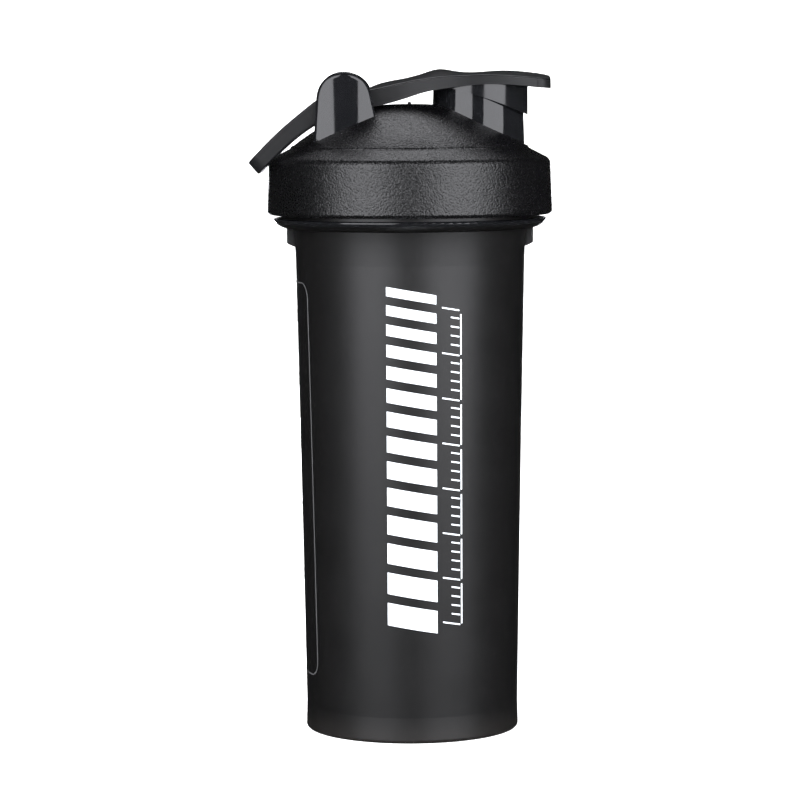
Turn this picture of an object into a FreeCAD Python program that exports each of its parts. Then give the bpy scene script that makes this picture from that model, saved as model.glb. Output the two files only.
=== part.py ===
"""Protein shaker bottle: a drafted cup with a screw lid, a flip cap over an offset spout, a carry loop
and a loose wire whisk ball.

The frame is in millimetres. +Z is up, the origin is the centre of the foot ring's flat underside, the spout
is on the +X side of the lid and the hinge of the flip cap and the carry loop is on the -X side.
Every piece is written to parts/NODE.step.
"""

import FreeCAD
import Part
import math
import os

V = FreeCAD.Vector

# ---------------------------------------------------------------- driving dimensions, cup
FOOT_R = 37.5             # outside radius of the foot ring
FOOT_EDGE = 1.3           # rounding of the foot's outer edge
FOOT_WALL = 2.4           # radial thickness of the foot ring
FOOT_BAND_Z = 9.0         # top of the straight band above the foot
FLOOR_Z = 3.2             # inner floor at the centre
FLOOR_T = 1.6             # thickness of the floor
FLOOR_FLAT_R = 21.0       # flat middle of the floor, before it curves up into the wall
WALL = 1.5                # wall thickness of the body
BODY_LOW_R = 37.3         # outside radius of the body just above the foot band
BODY_MID_R = 38.6         # outside radius half way up
BODY_TOP_R = 40.15        # outside radius where the body starts to flare to the collar
BODY_TOP_Z = 164.8
COLLAR_LOW_Z = 176.4      # where the body meets the underside of the collar
COLLAR_LOW_R = 43.6       # inner end of the collar's sloping underside
COLLAR_R = 47.9           # outer radius of the collar
COLLAR_RIM_Z = 179.4      # height of the collar's outermost edge
COLLAR_TOP_Z = 180.2
NECK_R = 45.2             # outside of the neck, at the root of its thread
NECK_BORE_R = 43.4
RIM_Z = 198.0           # top of the cup
LUG_HALF_ANGLE = 10.0     # two lugs under the collar, on +X and -X
LUG_R = 43.3
LUG_LOW_Z = 170.2

# ---------------------------------------------------------------- driving dimensions, screw thread
THREAD_PITCH = 6.0
THREAD_TURNS = 1.35
THREAD_BASE = 2.6         # axial width at the root
THREAD_CREST = 1.2        # axial width at the crest
THREAD_EMBED = 0.4        # how far each ridge is sunk into its wall
CUP_THREAD_Z = 185.8      # middle of the cup's ridge at its lower end
CUP_THREAD_H = 1.5
LID_THREAD_H = 1.7
THREAD_OFFSET = 2.05      # the lid's ridge sits this far below the cup's

# ---------------------------------------------------------------- driving dimensions, lid
LID_LOW_Z = 181.4       # lower edge of the skirt
SKIRT_LOW_R = 50.0
SKIRT_TOP_R = 49.35
SKIRT_TOP_Z = 199.0
SKIRT_BORE_R = 47.5
SEAT_Z = 199.8            # flat underside that presses on the gasket
LIP_OUT_R = 43.0          # sealing lip that hangs inside the neck
LIP_IN_R = 41.8
LIP_LOW_Z = 194.4
SHOULDER_IN_R = 47.4      # sloping shoulder, outer and inner end
SHOULDER_IN_Z = 201.55
DOME_R = 41.3
DOME_STEP_Z = 204.7       # small step at the foot of the dome
DOME_STEP = 0.4
DOME_TOP_Z = 219.8
DOME_T = 2.0
GATE_R = 0.8              # moulding nub on the middle of the dome
GATE_H = 0.7

SPOUT_X = 24.0
SPOUT_LOW_R = 16.35
SPOUT_TOP_R = 15.6
SPOUT_TOP_Z = 226.4
SPOUT_BORE_R = 14.0

HINGE_X = -22.5
HINGE_Z = 221.6
EAR_R = 9.5               # round top of each ear
EAR_IN_Y = 18.4
EAR_OUT_Y = 22.8          # crest of the bulged outer face
EAR_BULGE_R = 33.0
EAR_EDGE = 1.7
EAR_BACK_LEAN = 4.0       # degrees that the ear widens downwards on the -X side
EAR_FRONT_LEAN = 12.6     # and on the +X side
SOCKET_R = 2.5            # blind hinge sockets in the ears, and the holes in the loop
SOCKET_DEPTH = 1.9

# ---------------------------------------------------------------- driving dimensions, gasket
GASKET_IN_R = 43.3
GASKET_OUT_R = 47.1
GASKET_GAP = 0.15         # left free above and below the gasket

# ---------------------------------------------------------------- driving dimensions, flip cap
HUB_R = 4.4
HUB_HALF = 13.2           # half width of the hinge barrel
STUB_R = 2.4
STUB_END_Y = 20.0
CAP_SKIN = 1.8            # thickness of the top
CAP_RIM = 2.0             # thickness of the side rims
CAP_TIP_X = 49.1
CAP_EDGE = 0.7            # rounding of the upper edge
CAP_UPPER_Z = 227.0       # every edge above this height belongs to the top
SKIRT_R = 17.4            # collar of the cap that surrounds the spout
SKIRT_WALL = 1.3
PLUG_R = 13.6
PLUG_LOW_R = 13.0
PLUG_WALL = 1.6
PLUG_LOW_Z = 220.8

# ---------------------------------------------------------------- driving dimensions, carry loop
LOOP_IN_Y = 13.6
LOOP_OUT_Y = 18.0
LOOP_BAR = 3.9            # thickness of the cross bar along the strap
LOOP_EDGE = 0.7
LOOP_CORNER = 5.0

# ---------------------------------------------------------------- driving dimensions, whisk ball
BALL_R = 22.0             # sphere that the middle of the wire lies on
WIRE_R = 1.1
BALL_TURNS = 7
BALL_TILT = 24.0          # degrees that the coil's axis leans from upright
BALL_GAP = 0.25           # free height under the ball


def arc(start, middle, end):
    return Part.Arc(start, middle, end).toShape()


def line(start, end):
    return Part.LineSegment(start, end).toShape()


def rz(radius, height):
    """A point of a profile: radius from the Z axis, and height."""
    return V(radius, 0, height)


def outline(start, steps):
    """A closed face in the XZ plane. Each step is a point for a straight edge, (middle, end) for an arc,
    or a list of points for a smooth curve through them."""
    edges = []
    here = start
    for step in steps:
        if isinstance(step, tuple):
            edges.append(arc(here, step[0], step[1]))
            here = step[1]
        elif isinstance(step, list):
            curve = Part.BSplineCurve()
            curve.interpolate([here] + step)
            edges.append(curve.toShape())
            here = step[-1]
        else:
            edges.append(line(here, step))
            here = step
    if (here - start).Length > 1e-6:
        edges.append(line(here, start))
    return Part.Face(Part.Wire(edges))


def turned(face, degrees=360.0):
    return face.revolve(V(0, 0, 0), V(0, 0, 1), degrees)


def along_y(face, y_low, y_high):
    """The face in the XZ plane, extruded between two Y values."""
    solid = face.extrude(V(0, y_high - y_low, 0))
    solid.translate(V(0, y_low, 0))
    return solid


def upright(radius, z_low, z_high, x=0.0, top_radius=None):
    """A cylinder or cone about a vertical axis."""
    height = z_high - z_low
    if top_radius is None:
        return Part.makeCylinder(radius, height, V(x, 0, z_low))
    return Part.makeCone(radius, top_radius, height, V(x, 0, z_low))


def mirrored_pair(solid):
    """The solid and its mirror image in the XZ plane."""
    return [solid, solid.mirror(V(0, 0, 0), V(0, 1, 0))]


def edges_where(solid, keep):
    """The edges whose middle point passes a test."""
    found = []
    for edge in solid.Edges:
        middle = edge.valueAt((edge.FirstParameter + edge.LastParameter) / 2)
        if keep(edge, middle):
            found.append(edge)
    return found


def save(name, solid):
    """Writes one node, after checking that it is a valid closed solid."""
    shape = solid.removeSplitter()
    if not shape.isValid():
        shape = solid
    solids = shape.Solids
    shape = solids[0] if len(solids) == 1 else Part.makeCompound(solids)
    shape.exportStep("parts/" + name + ".step")
    print(name, "valid" if shape.isValid() else "NOT VALID", len(solids), "solid,", round(shape.Volume), "mm3")


def thread_ridge(root_r, height, z_middle, inward):
    """A trapezoidal helical ridge on a wall of radius root_r, pointing outward or inward."""
    sign = -1.0 if inward else 1.0
    base_r = root_r - sign * THREAD_EMBED
    tip_r = root_r + sign * height
    slope = (THREAD_BASE - THREAD_CREST) / 2 / height
    base_half = THREAD_BASE / 2 + slope * THREAD_EMBED
    corners = [
        V(base_r, 0, z_middle - base_half),
        V(tip_r, 0, z_middle - THREAD_CREST / 2),
        V(tip_r, 0, z_middle + THREAD_CREST / 2),
        V(base_r, 0, z_middle + base_half),
    ]
    section = Part.makePolygon(corners + corners[:1])
    helix = Part.makeHelix(THREAD_PITCH, THREAD_PITCH * THREAD_TURNS, root_r)
    helix.translate(V(0, 0, z_middle))
    return Part.Wire(helix.Edges).makePipeShell([section], True, True)


# ---------------------------------------------------------------- cup
def cup_profile():
    floor_low = FLOOR_Z - FLOOR_T
    foot_in = FOOT_R - FOOT_WALL
    bend = math.sqrt(0.5)
    inner_wall_r = BODY_LOW_R - WALL + 0.1
    corner = inner_wall_r - FLOOR_FLAT_R
    corner_z = FLOOR_Z + corner
    under = corner + FLOOR_T
    # where the underside of the curved floor meets the inside of the foot ring
    meet_z = corner_z - math.sqrt(under**2 - (foot_in - FLOOR_FLAT_R) ** 2)
    half_angle = math.atan2(corner_z - meet_z, foot_in - FLOOR_FLAT_R) / 2 + math.pi / 4
    under_middle = rz(
        FLOOR_FLAT_R + under * math.cos(half_angle), corner_z - under * math.sin(half_angle)
    )
    mid_z = (FOOT_BAND_Z + BODY_TOP_Z) / 2
    return outline(
        rz(0, floor_low),
        [
            rz(FLOOR_FLAT_R, floor_low),
            (under_middle, rz(foot_in, meet_z)),
            rz(foot_in, 0),
            rz(FOOT_R - FOOT_EDGE, 0),
            (
                rz(FOOT_R - FOOT_EDGE * (1 - bend), FOOT_EDGE * (1 - bend)),
                rz(FOOT_R, FOOT_EDGE),
            ),
            rz(BODY_LOW_R, FOOT_BAND_Z),
            (rz(BODY_MID_R, mid_z), rz(BODY_TOP_R, BODY_TOP_Z)),
            (rz(BODY_TOP_R + 0.3, 170.6), rz(BODY_TOP_R + 0.95, COLLAR_LOW_Z)),
            rz(COLLAR_LOW_R, COLLAR_LOW_Z + 0.3),
            (rz(46.0, 177.7), rz(COLLAR_R, COLLAR_RIM_Z)),
            (rz(COLLAR_R - 0.1, COLLAR_TOP_Z - 0.25), rz(COLLAR_R - 0.5, COLLAR_TOP_Z)),
            rz(NECK_R, COLLAR_TOP_Z),
            rz(NECK_R, RIM_Z - 0.6),
            (rz(NECK_R - 0.18, RIM_Z - 0.18), rz(NECK_R - 0.6, RIM_Z)),
            rz(NECK_BORE_R + 0.5, RIM_Z),
            (rz(NECK_BORE_R + 0.15, RIM_Z - 0.15), rz(NECK_BORE_R, RIM_Z - 0.5)),
            rz(NECK_BORE_R, 180.7),
            (rz(42.9, 179.3), rz(41.9, 178.1)),
            (rz(40.2, 176.1), rz(39.5, 174.1)),
            rz(BODY_TOP_R - WALL, BODY_TOP_Z),
            (rz(BODY_MID_R - WALL, mid_z), rz(inner_wall_r, corner_z)),
            (
                rz(FLOOR_FLAT_R + corner * bend, corner_z - corner * bend),
                rz(FLOOR_FLAT_R, FLOOR_Z),
            ),
            rz(0, FLOOR_Z),
        ],
    )


def collar_lugs():
    """Two short gussets under the collar, on opposite sides."""
    face = outline(
        rz(40.2, LUG_LOW_Z - 0.3),
        [
            rz(BODY_TOP_R + 0.35, LUG_LOW_Z),
            (rz(41.8, 170.65), rz(LUG_R - 0.4, 171.2)),
            (rz(LUG_R - 0.1, 171.5), rz(LUG_R, 172.0)),
            rz(LUG_R, 176.9),
            rz(40.9, 176.9),
        ],
    )
    lugs = []
    for side in (0, 180):
        lug = turned(face, 2 * LUG_HALF_ANGLE)
        lug.rotate(V(0, 0, 0), V(0, 0, 1), side - LUG_HALF_ANGLE)
        lugs.append(lug)
    return lugs


def cup():
    body = turned(cup_profile())
    ridge = thread_ridge(NECK_R, CUP_THREAD_H, CUP_THREAD_Z, inward=False)
    return body.fuse(collar_lugs() + [ridge])


# ---------------------------------------------------------------- lid
def dome_points(drop=0.0, shrink=0.0):
    """The dome's curve from its foot to the axis, lowered and drawn in for the inner face."""
    points = [(34.9, 209.55), (29.9, 212.6), (24.0, 215.8), (17.0, 218.3), (9.0, 219.55), (0.0, DOME_TOP_Z)]
    return [rz(max(0.0, r - shrink * r / DOME_R), z - drop) for r, z in points]


def lid_shell():
    """Skirt, shoulder and dome, solid inside."""
    return turned(
        outline(
            rz(0, LID_LOW_Z),
            [
                rz(SKIRT_LOW_R - 1.3, LID_LOW_Z),
                (rz(SKIRT_LOW_R - 0.35, LID_LOW_Z + 0.4), rz(SKIRT_LOW_R, LID_LOW_Z + 1.5)),
                rz(SKIRT_TOP_R, SKIRT_TOP_Z),
                (rz(48.75, 200.55), rz(SHOULDER_IN_R, SHOULDER_IN_Z)),
                rz(DOME_R, DOME_STEP_Z),
                rz(DOME_R - 0.25, DOME_STEP_Z + DOME_STEP),
                dome_points(),
            ],
        )
    )


def lid_cavity():
    """Everything hollow under the lid: the thread bore, the gasket seat, the lip and the inside of the dome."""
    return turned(
        outline(
            rz(0, LID_LOW_Z - 1),
            [
                rz(SKIRT_BORE_R + 0.4, LID_LOW_Z - 1),
                rz(SKIRT_BORE_R + 0.4, LID_LOW_Z),
                rz(SKIRT_BORE_R, LID_LOW_Z + 0.8),
                rz(SKIRT_BORE_R, SEAT_Z),
                rz(LIP_OUT_R, SEAT_Z),
                rz(LIP_OUT_R, LIP_LOW_Z + 0.4),
                rz(LIP_OUT_R - 0.4, LIP_LOW_Z),
                rz(LIP_IN_R, LIP_LOW_Z),
                rz(LIP_IN_R, 200.8),
                (rz(41.0, 202.1), rz(DOME_R - DOME_T * 0.9, 203.1)),
                dome_points(drop=DOME_T, shrink=1.2),
            ],
        )
    )


def ear_outline():
    """One ear seen from the side: a round top whose flanks widen downwards into the dome."""
    back = math.radians(EAR_BACK_LEAN)
    front = math.radians(EAR_FRONT_LEAN)
    centre = V(HINGE_X, 0, HINGE_Z)
    low = HINGE_Z - 205.2
    back_top = centre + V(-EAR_R * math.cos(back), 0, EAR_R * math.sin(back))
    front_top = centre + V(EAR_R * math.cos(front), 0, EAR_R * math.sin(front))
    back_low = back_top + V(-low * math.tan(back), 0, -low)
    front_low = front_top + V(low * math.tan(front), 0, -low)
    return outline(back_low, [back_top, (centre + V(0, 0, EAR_R), front_top), front_low])


def ear():
    """The ear on the +Y side, with its bulged outer face and rounded outer edge."""
    block = along_y(ear_outline(), EAR_IN_Y, EAR_OUT_Y + 1)
    bulge = Part.makeCylinder(
        EAR_BULGE_R, 60, V(HINGE_X, EAR_OUT_Y - EAR_BULGE_R, 192.2)
    )
    solid = block.common(bulge)
    face_edges = edges_where(
        solid, lambda edge, p: p.y > EAR_IN_Y + 0.8 and p.z > 206.2 and abs(edge.tangentAt(edge.FirstParameter).y) < 0.9
    )
    return solid.makeFillet(EAR_EDGE, face_edges)


def lid():
    shell = lid_shell()
    spout = upright(SPOUT_LOW_R, 202.2, SPOUT_TOP_Z, SPOUT_X, SPOUT_TOP_R)
    spout = spout.makeFillet(0.6, edges_where(spout, lambda edge, p: p.z > SPOUT_TOP_Z - 0.1 and edge.Closed))
    gate = upright(GATE_R, DOME_TOP_Z - 0.6, DOME_TOP_Z + GATE_H, 0.0, GATE_R * 0.7)
    solid = shell.fuse([spout, gate] + mirrored_pair(ear()))
    socket = Part.makeCylinder(
        SOCKET_R, SOCKET_DEPTH + 1, V(HINGE_X, EAR_IN_Y - 1, HINGE_Z), V(0, 1, 0)
    )
    bore = upright(SPOUT_BORE_R, 192.2, SPOUT_TOP_Z + 1, SPOUT_X)
    solid = solid.cut([lid_cavity(), bore] + mirrored_pair(socket))
    ridge = thread_ridge(SKIRT_BORE_R, LID_THREAD_H, CUP_THREAD_Z - THREAD_OFFSET, inward=True)
    return solid.fuse(ridge)


# ---------------------------------------------------------------- gasket
def lid_gasket():
    low = RIM_Z + GASKET_GAP
    high = SEAT_Z - GASKET_GAP
    middle = (low + high) / 2
    face = outline(
        rz(GASKET_IN_R + 0.3, low),
        [
            rz(GASKET_OUT_R - 0.6, low),
            (rz(GASKET_OUT_R, middle), rz(GASKET_OUT_R - 0.6, high)),
            rz(GASKET_IN_R + 0.3, high),
            (rz(GASKET_IN_R, middle), rz(GASKET_IN_R + 0.3, low)),
        ],
    )
    return turned(face)


# ---------------------------------------------------------------- flip cap
# Along the cap, from the hinge to the tip: x, height of the side rim's upper edge, height of its lower edge,
# rise of the crown above the upper edge, and half width.
CAP_STATIONS = [
    (-22.5, 225.4, 218.2, 0.6, 13.2),
    (-12.0, 225.0, 219.0, 1.4, 13.2),
    (-2.0, 227.2, 221.5, 1.5, 13.6),
    (5.0, 228.4, 223.7, 2.1, 15.0),
    (10.3, 229.0, 224.8, 2.9, 16.3),
    (16.0, 229.4, 225.6, 1.8, 17.4),
    (23.0, 229.7, 226.3, 1.1, 18.0),
    (31.0, 229.6, 226.5, 1.7, 17.8),
    (38.0, 229.2, 226.1, 1.9, 16.8),
    (45.0, 228.4, 225.4, 1.9, 15.0),
    (49.1, 227.8, 225.0, 1.6, 13.4),
]
CAP_NOSE = 5.0
GRIP_RIBS = [(34.5, 230.35), (37.7, 230.15), (40.9, 229.85), (44.1, 229.45)]   # x and height of each rib's axis
GRIP_RIB_R = 0.9
GRIP_RIB_HALF = 8.5


def cap_plan(inset=0.0):
    """The cap seen from above, as a prism that is taller than the cap."""
    side = [V(x, width - inset, 0) for x, _, _, _, width in CAP_STATIONS[1:-1]]
    tip_x = CAP_TIP_X - inset
    nose = max(0.6, CAP_NOSE - inset)
    start = V(HINGE_X, HUB_HALF - inset, 0)
    corner = V(tip_x - nose, side[-1].y - 0.3 * inset, 0)
    curve = Part.BSplineCurve()
    curve.interpolate([start] + side[:-1] + [corner])
    bend = nose * (1 - math.sqrt(0.5))
    shoulder = arc(corner, V(tip_x - bend, corner.y - bend, 0), V(tip_x, corner.y - nose, 0))
    half = [curve.toShape(), shoulder]
    mirror = [edge.mirror(V(0, 0, 0), V(0, 1, 0)) for edge in half]
    front = line(V(tip_x, corner.y - nose, 0), V(tip_x, nose - corner.y, 0))
    back = line(V(HINGE_X, inset - HUB_HALF, 0), start)
    face = Part.Face(Part.Wire(Part.__sortEdges__(half + [front] + mirror + [back])))
    face.translate(V(0, 0, 207.2))
    return face.extrude(V(0, 0, 40))


def above_crown(drop=0.0):
    """All the space above the cap's crowned top, or above a copy of it that is lowered."""
    rows = []
    for x, high, _, crown, width in CAP_STATIONS:
        row = []
        for step in range(-4, 5):
            across = step * 0.3
            row.append(V(x, across * width, high + crown * (1 - across**2) - drop))
        rows.append(row)
    first = [V(p.x - 8, p.y, p.z - 0.4) for p in rows[0]]
    last = [V(p.x + 3, p.y, p.z - 1.5) for p in rows[-1]]
    surface = Part.BSplineSurface()
    surface.interpolate([first] + rows + [last])
    return surface.toShape().extrude(V(0, 0, 40))


def below_rims():
    """All the space below the lower edge of the side rims."""
    low = [V(x, 0, z) for x, _, z, _, _ in CAP_STATIONS]
    curve = Part.BSplineCurve()
    curve.interpolate(low)
    start = V(low[0].x - 10, 0, low[0].z)
    end = V(low[-1].x + 10, 0, low[-1].z - 1)
    edges = [
        line(start, low[0]),
        curve.toShape(),
        line(low[-1], end),
        line(end, V(end.x, 0, 192.2)),
        line(V(end.x, 0, 192.2), V(start.x, 0, 192.2)),
        line(V(start.x, 0, 192.2), start),
    ]
    return along_y(Part.Face(Part.Wire(edges)), -40, 40)


def below_skirt():
    """The space below the cap's spout collar, whose lower edge follows the slope of the dome."""
    face = outline(
        V(0, 0, 227.8),
        [
            (V(25.5, 0, 222), V(44, 0, 214.6)),
            V(44, 0, 192.2),
            V(0, 0, 192.2),
        ],
    )
    return along_y(face, -40, 40)


def flip_cap():
    roof = above_crown()
    top = cap_plan().cut([roof, below_rims()])
    upper = edges_where(top, lambda edge, p: p.x > 0 and p.z > CAP_UPPER_Z and edge.Length > CAP_NOSE)
    top = top.makeFillet(CAP_EDGE, upper)
    pocket = cap_plan(CAP_RIM).cut(above_crown(CAP_SKIN))
    top = top.cut(pocket)
    hub = Part.makeCylinder(HUB_R, 2 * HUB_HALF, V(HINGE_X, -HUB_HALF, HINGE_Z), V(0, 1, 0))
    stub = Part.makeCylinder(STUB_R, 2 * STUB_END_Y, V(HINGE_X, -STUB_END_Y, HINGE_Z), V(0, 1, 0))
    collar = upright(SKIRT_R, 207.2, 247.2, SPOUT_X).cut(upright(SKIRT_R - SKIRT_WALL, 206.2, 248.2, SPOUT_X))
    collar = collar.cut([roof, below_skirt()])
    plug = upright(PLUG_LOW_R, PLUG_LOW_Z, PLUG_LOW_Z + 1.2, SPOUT_X, PLUG_R)
    plug = plug.fuse(upright(PLUG_R, PLUG_LOW_Z + 1.2, 247.2, SPOUT_X))
    plug = plug.cut([upright(PLUG_LOW_R - PLUG_WALL, 206.2, 248.2, SPOUT_X), roof])
    ribs = []
    for x, z in GRIP_RIBS:
        rib = Part.makeCylinder(GRIP_RIB_R, 2 * GRIP_RIB_HALF, V(x, -GRIP_RIB_HALF, z), V(0, 1, 0))
        ribs.append(rib.makeFillet(GRIP_RIB_R * 0.6, rib.Edges))
    return top.fuse([hub, stub, collar, plug] + ribs)


# ---------------------------------------------------------------- carry loop
def loop_outline():
    """The loop seen from the side: a round hub, then a strap that bends down over the shoulder of the lid."""
    centre = V(HINGE_X, 0, HINGE_Z)
    top = centre + V(-2.6, 0, 3.55)
    low = centre + V(1.2, 0, -4.23)
    return outline(
        top,
        [
            (centre + V(4.2, 0, 1.3), low),
            [V(-28.5, 0, 214.8), V(-37.6, 0, 209.4), V(-46.0, 0, 202.2), V(-52.3, 0, 195.6)],
            V(-56.0, 0, 199.8),
            [V(-50.5, 0, 205.5), V(-44.6, 0, 211.2), V(-37.3, 0, 217.3), V(-30.5, 0, 222.4), top],
        ],
    )


def carry_loop():
    side = loop_outline()
    solid = along_y(side, -LOOP_OUT_Y, LOOP_OUT_Y)
    # the finger hole: a block between the two arms that stops short of the cross bar
    slope = V(-3.7, 0, 4.2).normalize()
    bar_low = V(-52.3, 0, 195.6)
    inward = V(slope.z, 0, -slope.x)
    near = bar_low + inward * LOOP_BAR
    hole = outline(
        near - slope * 10,
        [near + slope * 18, near + slope * 18 + inward * 60, near - slope * 10 + inward * 60],
    )
    window = along_y(hole, -LOOP_IN_Y, LOOP_IN_Y)
    window = window.makeFillet(
        2.5, edges_where(window, lambda edge, p: abs(abs(p.y) - LOOP_IN_Y) < 0.01 and (p - near).dot(inward) < 0.01)
    )
    solid = solid.cut(window)
    end_corners = edges_where(
        solid, lambda edge, p: abs(abs(p.y) - LOOP_OUT_Y) < 0.01 and abs((p - bar_low).dot(inward)) < 0.01
    )
    solid = solid.makeFillet(LOOP_CORNER, end_corners)
    rims = edges_where(solid, lambda edge, p: abs(p.y) > LOOP_IN_Y + 0.5 or (p - bar_low).dot(inward) < 0.5)
    solid = solid.makeFillet(LOOP_EDGE, rims)
    pivot = Part.makeCylinder(SOCKET_R, 60, V(HINGE_X, -30, HINGE_Z), V(0, 1, 0))
    return solid.cut(pivot)


# ---------------------------------------------------------------- whisk ball
def whisk_ball():
    """One wire wound as a ball. Each half turn is half a ring whose ends lie in one plane, so that the wire
    runs on smoothly from ring to ring."""
    halves = 2 * BALL_TURNS
    span = math.radians(150)
    angles = [-span / 2 + span * k / halves for k in range(halves + 1)]
    side = 1
    pieces = []
    for low, high in zip(angles[:-1], angles[1:]):
        start = V(side * BALL_R * math.cos(low), 0, BALL_R * math.sin(low))
        end = V(-side * BALL_R * math.cos(high), 0, BALL_R * math.sin(high))
        middle = (start + end) / 2
        across = (end - start).normalize()
        radius = (end - start).Length / 2
        disc = Part.Face(Part.Wire(Part.makeCircle(WIRE_R, start, V(0, 1, 0))))
        axis = across.cross(V(0, side, 0))
        half = disc.revolve(middle, axis * (-1), 180)
        pieces.append(half)
        side = -side
    wire = pieces[0].fuse(pieces[1:])
    wire.rotate(V(0, 0, 0), V(0, 1, 0), BALL_TILT)
    wire.translate(V(0, 0, FLOOR_Z + BALL_GAP - wire.BoundBox.ZMin))
    return wire


os.makedirs("parts", exist_ok=True)
save("cup", cup())
save("lid", lid())
save("lid_gasket", lid_gasket())
save("flip_cap", flip_cap())
save("carry_loop", carry_loop())
save("whisk_ball", whisk_ball())
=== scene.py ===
"""Looks of the protein shaker bottle: materials, print, moulding marks, studio and camera."""

import math

import bmesh
import bpy
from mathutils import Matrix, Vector
from mathutils.bvhtree import BVHTree


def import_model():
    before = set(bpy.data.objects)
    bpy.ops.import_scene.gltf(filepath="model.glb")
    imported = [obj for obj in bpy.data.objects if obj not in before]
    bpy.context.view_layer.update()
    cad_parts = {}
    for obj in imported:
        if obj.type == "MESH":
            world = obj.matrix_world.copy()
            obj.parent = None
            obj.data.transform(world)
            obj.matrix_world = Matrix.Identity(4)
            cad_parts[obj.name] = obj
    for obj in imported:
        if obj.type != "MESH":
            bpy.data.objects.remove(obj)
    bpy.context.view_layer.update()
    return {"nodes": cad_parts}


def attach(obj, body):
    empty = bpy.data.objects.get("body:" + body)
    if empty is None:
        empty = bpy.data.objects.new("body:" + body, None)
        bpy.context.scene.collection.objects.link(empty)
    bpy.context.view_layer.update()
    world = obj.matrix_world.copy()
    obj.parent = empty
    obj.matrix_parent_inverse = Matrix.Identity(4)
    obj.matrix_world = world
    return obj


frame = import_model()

MM = 0.001                # millimetres to metres
PLASTIC_IOR = 1.49

# ---------------------------------------------------------------- camera
CAMERA_DISTANCE = 1.19    # from the cup's axis, along -Y
CAMERA_HEIGHT = 0.224
CAMERA_TILT = 5.195       # degrees below level
CAMERA_PAN = -0.156       # degrees
CAMERA_ROLL = 0.30        # degrees
CAMERA_LENS = 152.5       # mm
CAMERA_SENSOR = 36.0      # mm
CAMERA_REACH = 20.0       # metres


# ---------------------------------------------------------------- node helpers
class Paint:
    """A material's node tree, built step by step."""

    def __init__(self, name):
        self.material = bpy.data.materials.new(name)
        self.material.use_nodes = True
        self.tree = self.material.node_tree
        self.shader = self.tree.nodes["Principled BSDF"]
        self.coords = self.add("ShaderNodeTexCoord").outputs["Object"]

    def add(self, kind, **values):
        """A new node; each value goes to the input of that name, or else to the property."""
        node = self.tree.nodes.new(kind)
        for key, value in values.items():
            if key in node.inputs:
                node.inputs[key].default_value = value
            else:
                setattr(node, key, value)
        return node

    def join(self, output, socket):
        self.tree.links.new(output, socket)

    def plain(self, **values):
        """Values that are the same all over, set on the shader's own sockets."""
        for key, value in values.items():
            self.shader.inputs[key.replace("_", " ")].default_value = value

    def noise(self, scale, detail=2.0, roughness=0.5, distortion=0.0, stretch=None):
        """Noise in object coordinates; the scale is in cells per metre."""
        node = self.add(
            "ShaderNodeTexNoise", Scale=scale, Detail=detail, Roughness=roughness, Distortion=distortion
        )
        source = self.coords
        if stretch:
            mapping = self.add("ShaderNodeMapping")
            mapping.inputs["Scale"].default_value = stretch
            self.join(source, mapping.inputs["Vector"])
            source = mapping.outputs["Vector"]
        self.join(source, node.inputs["Vector"])
        return node.outputs["Fac"]

    def remap(self, value, low, high, to_low, to_high):
        """The value carried from the range low to high over to the range to_low to to_high."""
        node = self.add("ShaderNodeMapRange")
        keys = ("From Min", "From Max", "To Min", "To Max")
        for key, number in zip(keys, (low, high, to_low, to_high)):
            node.inputs[key].default_value = number
        self.join(value, node.inputs["Value"])
        return node.outputs["Result"]

    def total(self, first, second):
        node = self.add("ShaderNodeMath", operation="ADD")
        self.join(first, node.inputs[0])
        self.join(second, node.inputs[1])
        return node.outputs["Value"]

    def mix(self, factor, first, second):
        """A colour between two, each given as a tuple or as a node's output."""
        node = self.add("ShaderNodeMix", data_type="RGBA")
        self.join(factor, node.inputs[0])
        for socket, value in zip((node.inputs[6], node.inputs[7]), (first, second)):
            if isinstance(value, tuple):
                socket.default_value = (*value, 1.0)
            else:
                self.join(value, socket)
        return node.outputs[2]

    def bump(self, height, depth_mm, strength=1.0, below=None):
        """A bumped normal, on top of the coarser one below it if there is one."""
        node = self.add("ShaderNodeBump", Strength=strength, Distance=depth_mm * MM)
        self.join(height, node.inputs["Height"])
        if below is not None:
            self.join(below, node.inputs["Normal"])
        return node.outputs["Normal"]

    def set(self, key, output):
        """Joins a node's output to one of the shader's sockets."""
        self.join(output, self.shader.inputs[key])


# ---------------------------------------------------------------- materials
FOOT_GLOW_BAND = 9.0           # mm above the floor over which the foot is painted lighter and warmer, a painted glow for light shining through the translucent plastic


def cup_plastic():
    """Smoke-coloured polypropylene with a fine satin frost, painted lighter and warmer at the foot as a
    painted glow of light shining through it.
    """
    paint = Paint("smoke_polypropylene")
    paint.plain(Specular_IOR_Level=0.5, IOR=PLASTIC_IOR)
    cloud = paint.noise(70.0, 3.0, 0.55)
    fine = paint.noise(5200.0, 2.0, 0.6)
    dark = paint.mix(cloud, (0.0030, 0.0029, 0.0030), (0.0044, 0.0043, 0.0044))
    split = paint.add("ShaderNodeSeparateXYZ")
    paint.join(paint.coords, split.inputs["Vector"])
    # painted glow: the foot is painted lighter and warmer for the light that shines through the translucent
    # plastic there
    foot = paint.remap(split.outputs["Z"], 0.0, FOOT_GLOW_BAND * MM, 0.75, 0.0)
    paint.set("Base Color", paint.mix(foot, dark, (0.013, 0.0115, 0.0105)))
    frost = paint.remap(fine, 0.3, 0.7, -0.03, 0.03)
    sheen = paint.remap(cloud, 0.2, 0.8, 0.36, 0.42)
    paint.set("Roughness", paint.total(frost, sheen))
    paint.set("Normal", paint.bump(fine, 0.02, 0.55))
    return paint.material


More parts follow.
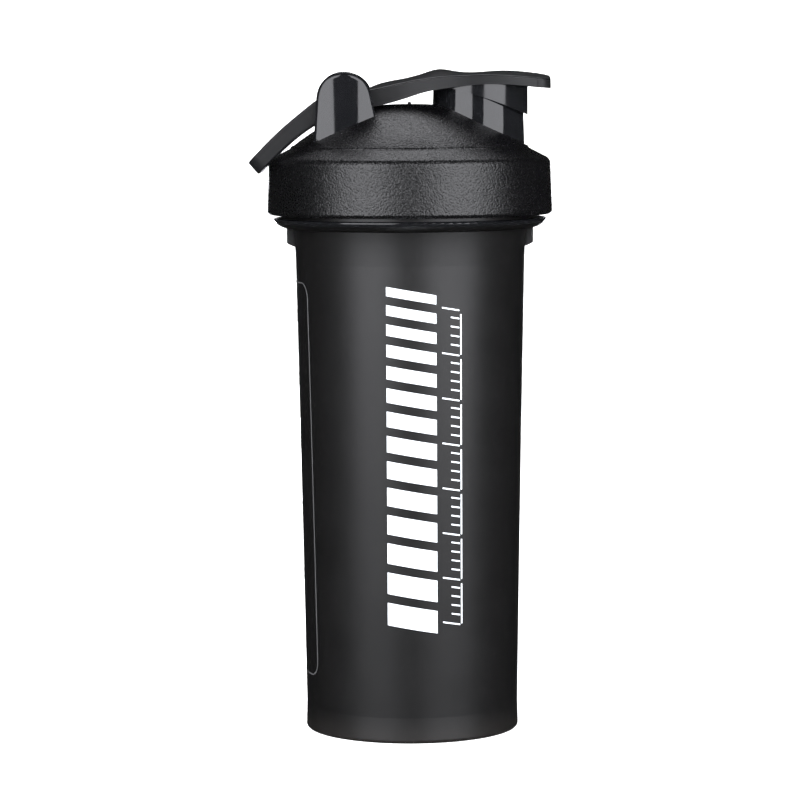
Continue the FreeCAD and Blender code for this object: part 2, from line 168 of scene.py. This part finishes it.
def lid_plastic():
    """Black polypropylene with a coarse moulded grain."""
    paint = Paint("grained_polypropylene")
    paint.plain(Specular_IOR_Level=0.5, IOR=PLASTIC_IOR)
    leather = paint.noise(1650.0, 1.0, 0.5)
    sand = paint.noise(3600.0, 2.0, 0.5)
    cloud = paint.noise(60.0, 2.0)
    paint.set("Base Color", paint.mix(cloud, (0.0017, 0.0017, 0.0019), (0.0028, 0.0028, 0.0031)))
    paint.set("Roughness", paint.remap(leather, 0.3, 0.7, 0.22, 0.32))
    coarse = paint.bump(leather, 0.20, 1.0)
    paint.set("Normal", paint.bump(sand, 0.03, 0.6, coarse))
    return paint.material


def gloss_plastic(name, low_roughness, high_roughness):
    """Black polypropylene from a polished mould, with faint flow waves and handling smears."""
    paint = Paint(name)
    paint.plain(Specular_IOR_Level=0.5, IOR=PLASTIC_IOR)
    waves = paint.noise(45.0, 1.0)
    smear = paint.noise(160.0, 4.0, 0.6, 0.5)
    pores = paint.noise(2600.0, 2.0)
    paint.set("Base Color", paint.mix(smear, (0.0036, 0.0038, 0.0044), (0.0056, 0.0059, 0.0066)))
    paint.set("Roughness", paint.remap(smear, 0.35, 0.75, low_roughness, high_roughness))
    flow = paint.bump(waves, 0.05, 0.35)
    paint.set("Normal", paint.bump(pores, 0.004, 0.35, flow))
    return paint.material


def satin_plastic():
    """Black polypropylene from a finely blasted mould, as on the parts that hands hold."""
    paint = Paint("satin_polypropylene")
    paint.plain(Specular_IOR_Level=0.28, IOR=PLASTIC_IOR)
    blast = paint.noise(3000.0, 2.0, 0.55)
    smear = paint.noise(120.0, 3.0, 0.6, 0.4)
    paint.set("Base Color", paint.mix(smear, (0.0042, 0.0043, 0.0048), (0.0062, 0.0064, 0.0070)))
    paint.set("Roughness", paint.remap(smear, 0.3, 0.75, 0.40, 0.48))
    paint.set("Normal", paint.bump(blast, 0.02, 0.6))
    return paint.material


def silicone():
    """Translucent grey seal."""
    paint = Paint("seal_silicone")
    paint.plain(Subsurface_Weight=0.25, Subsurface_Scale=0.8 * MM, Specular_IOR_Level=0.4)
    dust = paint.noise(900.0, 3.0)
    paint.set("Base Color", paint.mix(dust, (0.33, 0.34, 0.36), (0.40, 0.41, 0.43)))
    paint.set("Roughness", paint.remap(dust, 0.3, 0.7, 0.38, 0.5))
    paint.set("Normal", paint.bump(dust, 0.01, 0.5))
    return paint.material


def steel_wire():
    """Drawn and electropolished stainless wire."""
    paint = Paint("stainless_wire")
    paint.plain(Metallic=1.0)
    drawn = paint.noise(700.0, 3.0, 0.6, 0.0, (1.0, 1.0, 6.0))
    paint.set("Base Color", paint.mix(drawn, (0.56, 0.56, 0.57), (0.68, 0.68, 0.69)))
    paint.set("Roughness", paint.remap(drawn, 0.3, 0.7, 0.16, 0.30))
    paint.set("Normal", paint.bump(drawn, 0.006, 0.4))
    return paint.material


def print_ink():
    """White pad-print ink: slightly uneven, and a little glossier than the cup."""
    paint = Paint("white_print_ink")
    paint.plain(Specular_IOR_Level=0.4)
    patchy = paint.noise(420.0, 4.0, 0.65)
    specks = paint.noise(2600.0, 2.0)
    cover = paint.remap(patchy, 0.25, 0.6, 0.0, 1.0)
    paint.set("Base Color", paint.mix(cover, (0.52, 0.55, 0.58), (0.60, 0.63, 0.66)))
    paint.set("Roughness", paint.remap(specks, 0.3, 0.7, 0.38, 0.52))
    paint.set("Normal", paint.bump(specks, 0.01, 0.5))
    return paint.material


def faint_ink():
    """Grey tone-on-tone ink of the volume scale's numbers and ticks; on the hairline round the scale the same
    light grey is a painted highlight for its edge.
    """
    paint = Paint("grey_scale_ink_and_edge_highlight")
    paint.plain(Specular_IOR_Level=0.4)
    patchy = paint.noise(500.0, 4.0, 0.65)
    paint.set("Base Color", paint.mix(patchy, (0.045, 0.045, 0.047), (0.075, 0.075, 0.078)))
    paint.set("Roughness", paint.remap(patchy, 0.3, 0.7, 0.4, 0.55))
    paint.set("Normal", paint.bump(patchy, 0.01, 0.5))
    return paint.material


def assign(obj, material):
    """Gives an object one material in place of all others."""
    obj.data.materials.clear()
    obj.data.materials.append(material)


# ---------------------------------------------------------------- carried-over CAD nodes
# Positions in mm, and limits for the parts of a face's normal.
SPOUT_X = 24.0
SPOUT_REACH = 16.6         # just outside the spout's wall
SPOUT_RIM_Z = 226.0
SPOUT_HEIGHT = 26.0
EAR_INSIDE_Y = 18.2
EAR_BACK_X, EAR_FRONT_X = -35.0, -11.5
EAR_ARCH_Z = 218.0         # everything of an ear above this height is arch
EAR_FOOT_Z = 205.6
CAP_COLLAR_R = 17.4
CAP_COLLAR_SLACK = 0.35
CAP_EDGE_Z = 223.0
COLLAR_EDGE_R = 46.7
COLLAR_EDGE_LOW_Z, COLLAR_EDGE_HIGH_Z = 178.6, 181.0
CAP_EDGE_LOW, CAP_EDGE_HIGH = 0.25, 0.9
CAP_EDGE_SIDE = 0.3        # least sideways part of a normal on the lever's long edges
UPRIGHT = 0.3              # below this, a face stands upright
SLOPING = 0.6              # below this, a face isn't a flat top or underside

nodes = frame["nodes"]


def polished(node, material, test):
    """Gives another material to the faces of a node whose middle, in mm, and normal pass a test."""
    data = nodes[node].data
    if material.name not in data.materials:
        data.materials.append(material)
    index = data.materials.find(material.name)
    for face in data.polygons:
        if test(face.center / MM, face.normal):
            face.material_index = index


def on_spout(middle, normal):
    near = math.hypot(middle.x - SPOUT_X, middle.y) < SPOUT_REACH and middle.z > SPOUT_RIM_Z - SPOUT_HEIGHT
    return near and (abs(normal.z) < UPRIGHT or middle.z > SPOUT_RIM_Z)


def on_ear(middle, normal):
    beside = abs(middle.y) > EAR_INSIDE_Y and EAR_BACK_X < middle.x < EAR_FRONT_X
    return beside and middle.z > EAR_FOOT_Z and (middle.z > EAR_ARCH_Z or abs(normal.z) < SLOPING)


def on_cap_collar(middle, normal):
    off_wall = abs(math.hypot(middle.x - SPOUT_X, middle.y) - CAP_COLLAR_R)
    return off_wall < CAP_COLLAR_SLACK and abs(normal.z) < UPRIGHT


def on_cap_edge(middle, normal):
    """The rounded long edges of the lever's top."""
    rounded = CAP_EDGE_LOW < normal.z < CAP_EDGE_HIGH and abs(normal.y) > CAP_EDGE_SIDE
    return rounded and middle.z > CAP_EDGE_Z


def on_collar_edge(middle, normal):
    """The thin rim of the cup's collar."""
    level = COLLAR_EDGE_LOW_Z < middle.z < COLLAR_EDGE_HIGH_Z
    return level and math.hypot(middle.x, middle.y) > COLLAR_EDGE_R


gloss = gloss_plastic("polished_polypropylene", 0.05, 0.11)
semigloss = gloss_plastic("semigloss_polypropylene", 0.12, 0.18)
satin = satin_plastic()
lid_material = lid_plastic()
assign(nodes["cup"], cup_plastic())
assign(nodes["lid"], lid_material)
assign(nodes["lid_gasket"], silicone())
assign(nodes["flip_cap"], satin)
assign(nodes["carry_loop"], satin)
assign(nodes["whisk_ball"], steel_wire())
polished("lid", gloss, on_spout)
polished("lid", gloss, on_ear)
polished("cup", gloss, on_collar_edge)
polished("flip_cap", semigloss, on_cap_collar)
polished("flip_cap", semigloss, on_cap_edge)


# ---------------------------------------------------------------- print on the cup
# Sizes in mm: across is along the surface from the middle of the print, heights are above the floor.
OUTSIDE = 60.0             # farther out than any part of the cup
PRINT_LIFT = 0.05          # how far ink stands above the cup
PRINT_CELL = 1.2           # width of one face of a printed patch
BAR_SLANT = 0.174          # fall per millimetre towards the right
BAR_LEFT, BAR_RIGHT = -8.3, 8.9
BAR_LOW, BAR_HIGH = 40.0, 156.5
BAR_COUNT = 14
BAR_GAP = 3.1
BAR_SHARE, BAR_SHARE_FALL = 1.5, 0.9    # relative height of the lowest bar, and how much less the top one has
RULER_LEFT, RULER_RIGHT = 10.9, 17.2
RULER_LOW = BAR_LOW + 1.5
RULER_LENGTH = BAR_HIGH - BAR_LOW - 4
RULER_STEP = 3.1
RULER_GROUP = 5            # strokes from one long stroke to the next
RULER_LINE = 0.5
SPINE_LEFT, SPINE_RIGHT = RULER_RIGHT + 0.35, RULER_RIGHT + 0.85
SPINE_BREAK = 1.6
SPINE_CELL = 0.5
SCALE_CENTRE = math.radians(-92.0)      # the volume scale faces -X
SCALE_HALF_WIDTH = 20.0
SCALE_LOW, SCALE_HIGH = 20.5, 158.0
SCALE_CORNER = 5.0
SCALE_CORNER_STEPS = 6
SCALE_CELL = 2.5           # greatest length of one piece of the hairline
SCALE_PROFILE = ((-0.28, -0.03), (-0.12, 0.1), (0.12, 0.1), (0.28, -0.03))    # outward offset, lift
LEVEL_HIGHEST = SCALE_HIGH - 6
MILLILITRES = 100          # between two numbers
CUP_FLOOR = 3.2
TICK_LEFT, TICK_RIGHT, HALF_TICK_RIGHT = -14.5, -4.5, -9.5
TICK_HALF_LINE, HALF_TICK_HALF_LINE = 0.3, 0.2
NUMBER_SIZE = 6.4
NUMBER_LEFT = -2.5
NUMBER_LIFT = PRINT_LIFT + 0.05

cup_data = nodes["cup"].data
cup_tree = BVHTree.FromPolygons(
    [vert.co.copy() for vert in cup_data.vertices], [tuple(face.vertices) for face in cup_data.polygons]
)


def outward(angle):
    """Unit vector at an angle counted from the front of the cup towards +X."""
    return Vector((math.sin(angle), -math.cos(angle), 0.0))


def on_cup(angle, height, lift):
    """The point of the cup's outside at an angle and a height in mm, lifted by so many mm."""
    away = outward(angle)
    start = away * OUTSIDE * MM + Vector((0.0, 0.0, height * MM))
    hit = cup_tree.ray_cast(start, -away)[0]
    return hit + away * lift * MM


def inner_radius(height):
    """Inside radius of the cup in mm, at a height in mm."""
    start = Vector((0.0, 0.0, height * MM))
    hit = cup_tree.ray_cast(start, Vector((0.0, -1.0, 0.0)))[0]
    return -hit.y / MM


def cup_radius(height):
    """Outside radius of the cup in mm, at a height in mm."""
    hit = on_cup(0.0, height, 0.0)
    return math.hypot(hit.x, hit.y) / MM


def wrapped(arc_mm, height):
    """Angle on the cup for a distance along its surface from the front, at a height."""
    return arc_mm / cup_radius(height)


def patch(mesh, left, right, low, high, slant=0.0, centre=0.0, cell=PRINT_CELL):
    """A slanted bar of ink, in mm along the surface and up, with its sides going down to the cup."""
    columns = max(1, round((right - left) / cell))
    rows = max(1, round((high - low) / (cell * 3)))
    grid = []
    for j in range(rows + 1):
        row = []
        for i in range(columns + 1):
            across = left + (right - left) * i / columns
            up = low + (high - low) * j / rows - slant * (across - (left + right) / 2)
            angle = centre + wrapped(across, up)
            row.append((mesh.verts.new(on_cup(angle, up, PRINT_LIFT)), angle, up))
        grid.append(row)
    for lower, upper in zip(grid[:-1], grid[1:]):
        for i in range(columns):
            mesh.faces.new((lower[i][0], lower[i + 1][0], upper[i + 1][0], upper[i][0]))
    rim = grid[0][:-1] + [row[-1] for row in grid[:-1]]
    rim += grid[-1][:0:-1] + [row[0] for row in grid[:0:-1]]
    foot = [mesh.verts.new(on_cup(angle, up, 0.0)) for _, angle, up in rim]
    for k in range(len(rim)):
        after = (k + 1) % len(rim)
        mesh.faces.new((rim[k][0], foot[k], foot[after], rim[after][0]))


def piece(name, mesh, material, body):
    """Turns a bmesh into a piece that rides on a body."""
    bmesh.ops.recalc_face_normals(mesh, faces=mesh.faces)
    data = bpy.data.meshes.new(name)
    mesh.to_mesh(data)
    mesh.free()
    obj = bpy.data.objects.new(name, data)
    bpy.context.scene.collection.objects.link(obj)
    assign(obj, material)
    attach(obj, body)


def print_bars(material):
    """A column of slanted bars that get thinner towards the top."""
    mesh = bmesh.new()
    shares = [BAR_SHARE - BAR_SHARE_FALL * k / (BAR_COUNT - 1) for k in range(BAR_COUNT)]
    unit = (BAR_HIGH - BAR_LOW - BAR_GAP * (BAR_COUNT - 1)) / sum(shares)
    low = BAR_LOW
    for share in shares:
        patch(mesh, BAR_LEFT, BAR_RIGHT, low, low + share * unit, BAR_SLANT)
        low += share * unit + BAR_GAP
    piece("print_bars", mesh, material, "cup_body")


def print_ruler(material):
    """A fine graduated line beside the bars: a long stroke, then four short ones."""
    mesh = bmesh.new()
    strokes = int(RULER_LENGTH / RULER_STEP)
    for k in range(strokes):
        low = RULER_LOW + k * RULER_STEP
        left = (RULER_LEFT + RULER_RIGHT) / 2 if k % RULER_GROUP else RULER_LEFT
        patch(mesh, left, RULER_RIGHT, low, low + RULER_LINE, BAR_SLANT)
    for k in range(0, strokes - RULER_GROUP, RULER_GROUP):
        low = RULER_LOW + k * RULER_STEP
        high = low + RULER_STEP * RULER_GROUP - SPINE_BREAK
        patch(mesh, SPINE_LEFT, SPINE_RIGHT, low, high, cell=SPINE_CELL)
    piece("print_ruler", mesh, material, "cup_body")


def fill_levels():
    """Heights in mm at which the cup holds each full 100 ml."""
    levels = []
    volume, height, step = 0.0, CUP_FLOOR + 0.5, 0.5
    while height < LEVEL_HIGHEST:
        volume += math.pi * inner_radius(height) ** 2 * step / 1000    # cubic mm to ml
        if volume >= MILLILITRES * (len(levels) + 1):
            levels.append(height)
        height += step
    return levels


def tick(mesh, right, level, half_line):
    """A level line of the volume scale."""
    patch(mesh, TICK_LEFT, right, level - half_line, level + half_line, centre=SCALE_CENTRE)


def number(mesh, value, level):
    """Adds a number, bent round the cup beside the tick at a height in mm, to a bmesh."""
    text = bpy.data.curves.new("number", "FONT")
    text.body = str(value)
    text.size = NUMBER_SIZE
    text.align_y = "CENTER"
    holder = bpy.data.objects.new("number", text)
    flat = bpy.data.meshes.new_from_object(holder)
    glyphs = bmesh.new()
    glyphs.from_mesh(flat)
    bmesh.ops.triangulate(glyphs, faces=glyphs.faces)
    bmesh.ops.subdivide_edges(glyphs, edges=glyphs.edges, cuts=1)
    bmesh.ops.triangulate(glyphs, faces=glyphs.faces)
    for vert in glyphs.verts:
        angle = SCALE_CENTRE + wrapped(vert.co.x + NUMBER_LEFT, level)
        vert.co = on_cup(angle, level + vert.co.y, NUMBER_LIFT)
    bent = bpy.data.meshes.new("number_bent")
    glyphs.to_mesh(bent)
    glyphs.free()
    mesh.from_mesh(bent)
    bpy.data.objects.remove(holder)
    for used in (flat, bent):
        bpy.data.meshes.remove(used)
    bpy.data.curves.remove(text)


def scale_numbers(material):
    """Ticks and numbers of the volume scale, with a half tick between each two."""
    mesh = bmesh.new()
    levels = fill_levels()
    for index, level in enumerate(levels):
        tick(mesh, TICK_RIGHT, level, TICK_HALF_LINE)
        if index:
            tick(mesh, HALF_TICK_RIGHT, (level + levels[index - 1]) / 2, HALF_TICK_HALF_LINE)
        number(mesh, MILLILITRES * (index + 1), level)
    piece("scale_numbers", mesh, material, "cup_body")


def panel_outline():
    """Points of the rectangle round the scale, as (across, height) in mm, its corners rounded."""
    corners = (
        (SCALE_HALF_WIDTH, SCALE_LOW, 270), (SCALE_HALF_WIDTH, SCALE_HIGH, 0),
        (-SCALE_HALF_WIDTH, SCALE_HIGH, 90), (-SCALE_HALF_WIDTH, SCALE_LOW, 180),
    )
    path = []
    for across, up, start in corners:
        inward_x = across - math.copysign(SCALE_CORNER, across)
        inward_z = up + (SCALE_CORNER if up == SCALE_LOW else -SCALE_CORNER)
        for step in range(SCALE_CORNER_STEPS + 1):
            turn = math.radians(start + 90 / SCALE_CORNER_STEPS * step)
            path.append((inward_x + SCALE_CORNER * math.cos(turn), inward_z + SCALE_CORNER * math.sin(turn)))
    fine = []
    for (x0, z0), (x1, z1) in zip(path, path[1:] + path[:1]):
        parts = max(1, int(math.hypot(x1 - x0, z1 - z0) / SCALE_CELL))
        fine += [(x0 + (x1 - x0) * k / parts, z0 + (z1 - z0) * k / parts) for k in range(parts)]
    return fine


def scale_panel(material):
    """A raised hairline round the volume scale, with rounded corners, painted light grey as a painted
    highlight for the light its embossed edge catches.
    """
    middle = (SCALE_LOW + SCALE_HIGH) / 2
    half_height = (SCALE_HIGH - SCALE_LOW) / 2
    mesh = bmesh.new()
    rings = []
    for x, z in panel_outline():
        beside = abs(x) > SCALE_HALF_WIDTH - SCALE_CORNER
        beyond = abs(z - middle) - half_height + SCALE_CORNER > 0
        push = Vector((math.copysign(float(beside), x), math.copysign(float(beyond), z - middle), 0.0))
        push = push.normalized() if push.length else push
        ring = []
        for out, lift in SCALE_PROFILE:
            across, up = x + push.x * out, z + push.y * out
            ring.append(mesh.verts.new(on_cup(SCALE_CENTRE + wrapped(across, up), up, lift)))
        rings.append(ring)
    for ring, after in zip(rings, rings[1:] + rings[:1]):
        for k in range(len(SCALE_PROFILE) - 1):
            mesh.faces.new((ring[k], ring[k + 1], after[k + 1], after[k])).smooth = True
    piece("scale_panel", mesh, material, "cup_body")


# ---------------------------------------------------------------- bead on the lid
BEAD_STEPS = 160
# Radius and height of the bead's section, in mm.
BEAD_SECTION = ((41.85, 204.2), (41.72, 204.75), (41.45, 205.2), (41.0, 205.42), (40.5, 205.3))


def dome_bead(material):
    """The low bead where the lid's shoulder meets the dome."""
    mesh = bmesh.new()
    rings = []
    for step in range(BEAD_STEPS):
        turn = 2 * math.pi * step / BEAD_STEPS
        rings.append([
            mesh.verts.new((radius * MM * math.cos(turn), radius * MM * math.sin(turn), height * MM))
            for radius, height in BEAD_SECTION
        ])
    for ring, after in zip(rings, rings[1:] + rings[:1]):
        for k in range(len(BEAD_SECTION) - 1):
            mesh.faces.new((ring[k], after[k], after[k + 1], ring[k + 1])).smooth = True
    piece("dome_bead", mesh, material, "lid_body")


dome_bead(lid_material)
ink = print_ink()
print_bars(ink)
print_ruler(ink)
scale_ink_and_edge_highlight = faint_ink()
scale_numbers(scale_ink_and_edge_highlight)
# the hairline's light grey is a painted highlight for the embossed edge, not print
scale_panel(scale_ink_and_edge_highlight)


# ---------------------------------------------------------------- studio
FLOOR_R = 1.8             # flat part, in metres
FLOOR_BEND = 0.8          # radius of the curve up to the backdrop
FLOOR_BEND_STEPS = 12
FLOOR_SIDES = 96
BACKDROP_TOP = 3.2
FLOOR_GLOW = 0.75
WHITE = (1.0, 1.0, 1.0, 1.0)
WORLD_STRENGTH = 0.015
LIGHT_TARGET = Vector((0.0, 0.0, 0.12))    # the middle of the bottle
SOFTBOX_TINT = (0.95, 0.955, 1.0)
# Name, azimuth, elevation, distance, width, height, power.
SOFTBOXES = (
    ("left_softbox", -37, 18, 1.1, 0.93, 1.0, 14),
    ("right_softbox", 40, 18, 1.1, 1.07, 1.0, 16),
    ("top_softbox", 180, 67, 1.0, 0.7, 0.5, 2.9),
    ("rear_softbox", 180, -1, 1.15, 0.5, 0.16, 3),
)
FRONT_FILL = ("front_fill", 0, 20, 1.6, 1.2, 1.2, 4)


def paper():
    """Matt white paper that glows a little, so the floor and the backdrop stay white."""
    paint = Paint("paper_sweep")
    paint.plain(Base_Color=(0.92, 0.92, 0.92, 1.0), Roughness=0.9, Specular_IOR_Level=0.1)
    paint.plain(Emission_Color=WHITE, Emission_Strength=FLOOR_GLOW)
    paint.material.cycles.emission_sampling = "NONE"
    return paint.material


def floor():
    """A pale round floor that curves up into a backdrop on all sides."""
    profile = [(0.01, 0.0), (0.8, 0.0), (FLOOR_R, 0.0)]
    for step in range(1, FLOOR_BEND_STEPS + 1):
        angle = math.radians(90 * step / FLOOR_BEND_STEPS)
        profile.append((FLOOR_R + FLOOR_BEND * math.sin(angle), FLOOR_BEND * (1 - math.cos(angle))))
    profile.append((FLOOR_R + FLOOR_BEND, BACKDROP_TOP))
    mesh = bmesh.new()
    turns = [2 * math.pi * k / FLOOR_SIDES for k in range(FLOOR_SIDES)]
    rings = []
    for radius, height in profile:
        rings.append([mesh.verts.new((radius * math.cos(t), radius * math.sin(t), height)) for t in turns])
    mesh.faces.new(rings[0])
    for low, high in zip(rings[:-1], rings[1:]):
        for k in range(FLOOR_SIDES):
            after = (k + 1) % FLOOR_SIDES
            mesh.faces.new((low[k], low[after], high[after], high[k])).smooth = True
    data = bpy.data.meshes.new("studio_floor")
    mesh.to_mesh(data)
    mesh.free()
    obj = bpy.data.objects.new("studio_floor", data)
    bpy.context.scene.collection.objects.link(obj)
    assign(obj, paper())
    obj.visible_glossy = False


def softbox(name, azimuth, elevation, distance, width, height, power):
    """An area light aimed at the bottle. Azimuth is counted from the camera towards +X."""
    turn, rise = math.radians(azimuth), math.radians(elevation)
    away = Vector((math.sin(turn) * math.cos(rise), -math.cos(turn) * math.cos(rise), math.sin(rise)))
    light = bpy.data.lights.new(name, "AREA")
    light.shape = "RECTANGLE"
    light.size, light.size_y, light.energy = width, height, power
    light.color = SOFTBOX_TINT
    obj = bpy.data.objects.new(name, light)
    obj.visible_camera = False
    obj.location = LIGHT_TARGET + away * distance
    obj.rotation_euler = away.to_track_quat("Z", "Y").to_euler()
    bpy.context.scene.collection.objects.link(obj)
    return obj


def world():
    """A dim, even white all round."""
    scene_world = bpy.data.worlds.new("studio")
    scene_world.use_nodes = True
    background = scene_world.node_tree.nodes["Background"]
    background.inputs["Color"].default_value = WHITE
    background.inputs["Strength"].default_value = WORLD_STRENGTH
    bpy.context.scene.world = scene_world


def camera():
    """The camera in front of the bottle, looking slightly down."""
    data = bpy.data.cameras.new("camera")
    data.lens = CAMERA_LENS
    data.sensor_width = CAMERA_SENSOR
    data.clip_end = CAMERA_REACH
    obj = bpy.data.objects.new("camera", data)
    obj.location = (0.0, -CAMERA_DISTANCE, CAMERA_HEIGHT)
    obj.rotation_mode = "XYZ"
    obj.rotation_euler = (
        math.radians(90.0 - CAMERA_TILT), math.radians(CAMERA_ROLL), math.radians(-CAMERA_PAN)
    )
    bpy.context.scene.collection.objects.link(obj)
    bpy.context.scene.camera = obj


floor()
world()
for values in SOFTBOXES:
    softbox(*values)
softbox(*FRONT_FILL).visible_glossy = False
camera()
bpy.context.scene.view_settings.view_transform = "Standard"
